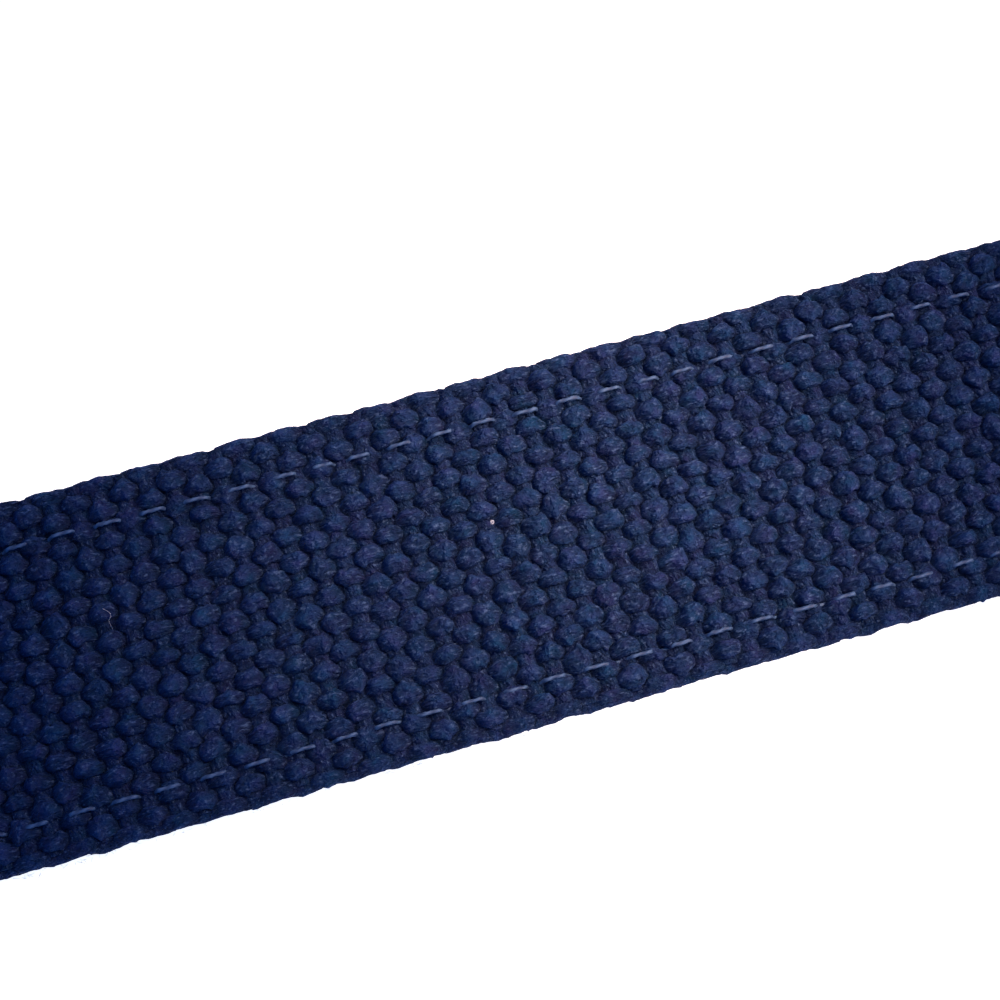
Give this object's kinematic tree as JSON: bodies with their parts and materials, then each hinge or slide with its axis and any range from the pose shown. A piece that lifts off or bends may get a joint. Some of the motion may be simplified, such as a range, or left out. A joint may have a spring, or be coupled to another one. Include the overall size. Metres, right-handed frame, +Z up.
{
  "type": "stitched webbing belt",
  "caption": "Flat belt of heavy plain-woven navy cotton webbing, seen on its back, with a row of stitching along each edge, a turned hem and a plain wire slide buckle.",
  "frame": {"origin": "on the surface that the belt lies on, under the middle of its whole outline", "axes": "+X along the belt towards the buckle, +Y across it, +Z up out of the strap's back face"},
  "size_m": [1.1, 0.0404, 0.009],
  "materials": {
    "webbing": "plain-woven navy cotton, matt",
    "buckle_wire": "satin nickel plate"
  },
  "bodies": {
    "root": {"strap": "webbing", "buckle": "buckle_wire"}
  },
  "joints": []
}
